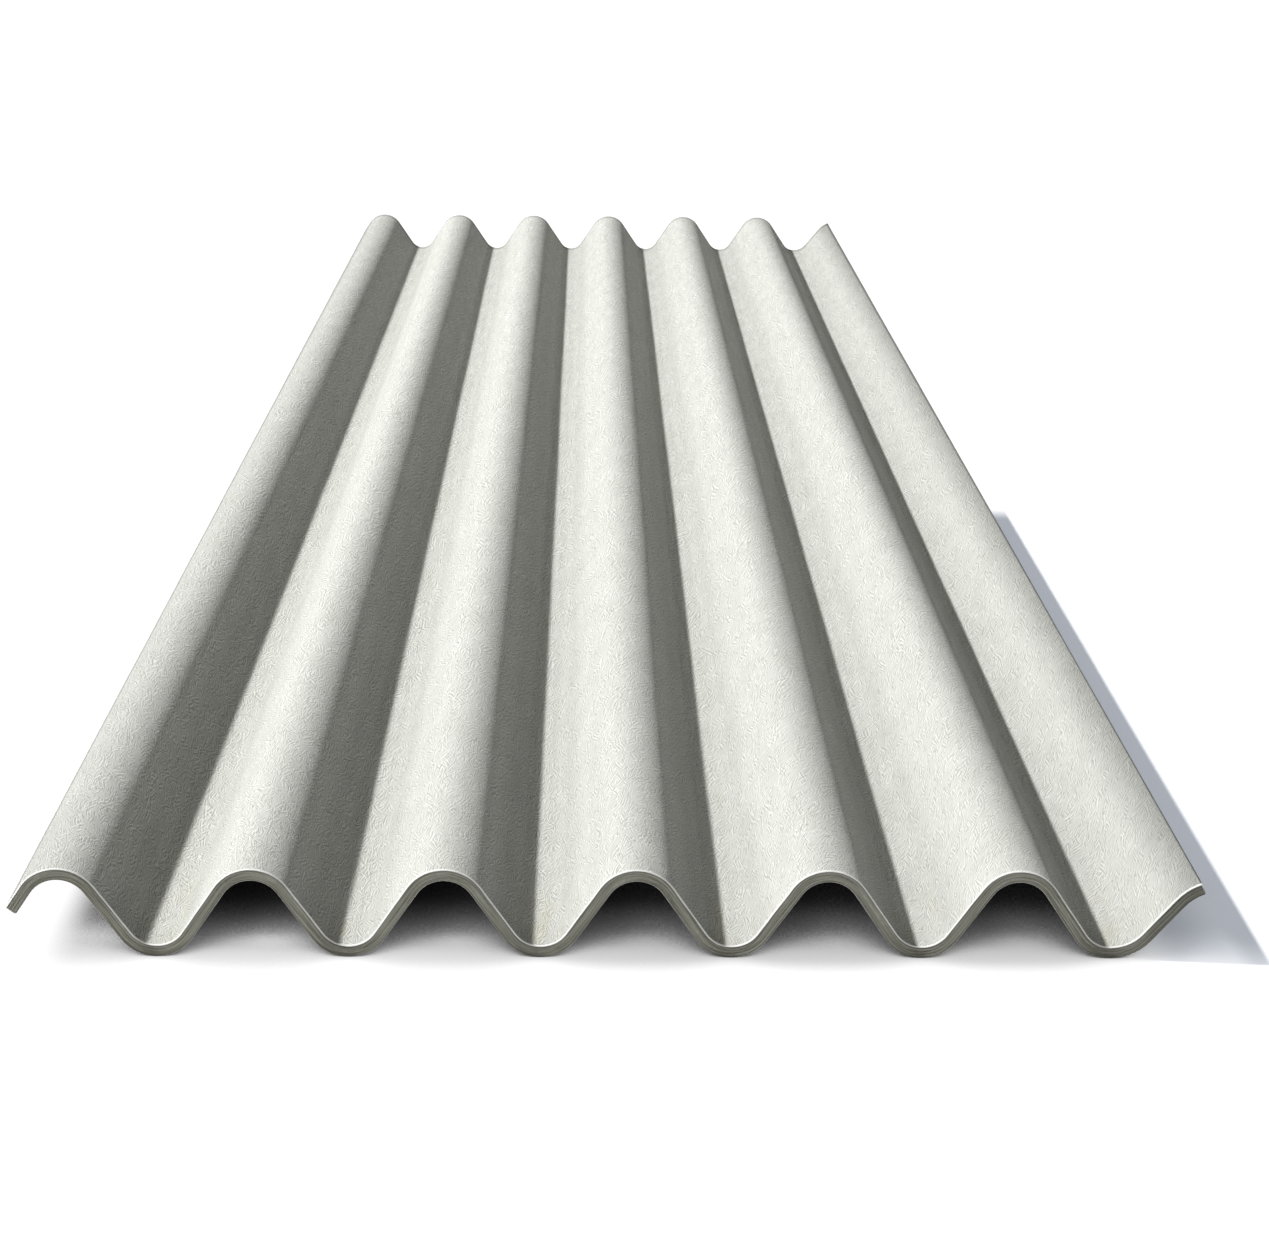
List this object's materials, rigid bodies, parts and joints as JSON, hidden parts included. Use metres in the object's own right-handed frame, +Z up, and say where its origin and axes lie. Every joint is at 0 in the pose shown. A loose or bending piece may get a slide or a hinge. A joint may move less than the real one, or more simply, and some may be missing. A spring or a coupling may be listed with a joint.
{
  "type": "corrugated asbestos cement sheet",
  "caption": "Long corrugated roofing sheet of grey asbestos cement, with a covering edge on one side and a lower covered edge on the other for side laps.",
  "frame": {"origin": "middle of the floor under the sheet, level with the undersides of the troughs", "axes": "+Z up through the crests, +Y along the corrugations, +X across them towards the covered edge"},
  "size_m": [0.9124, 3.05, 0.0735],
  "materials": {
    "asbestos_cement": "matte"
  },
  "bodies": {
    "root": {"corrugated_sheet": "asbestos_cement"}
  },
  "joints": []
}
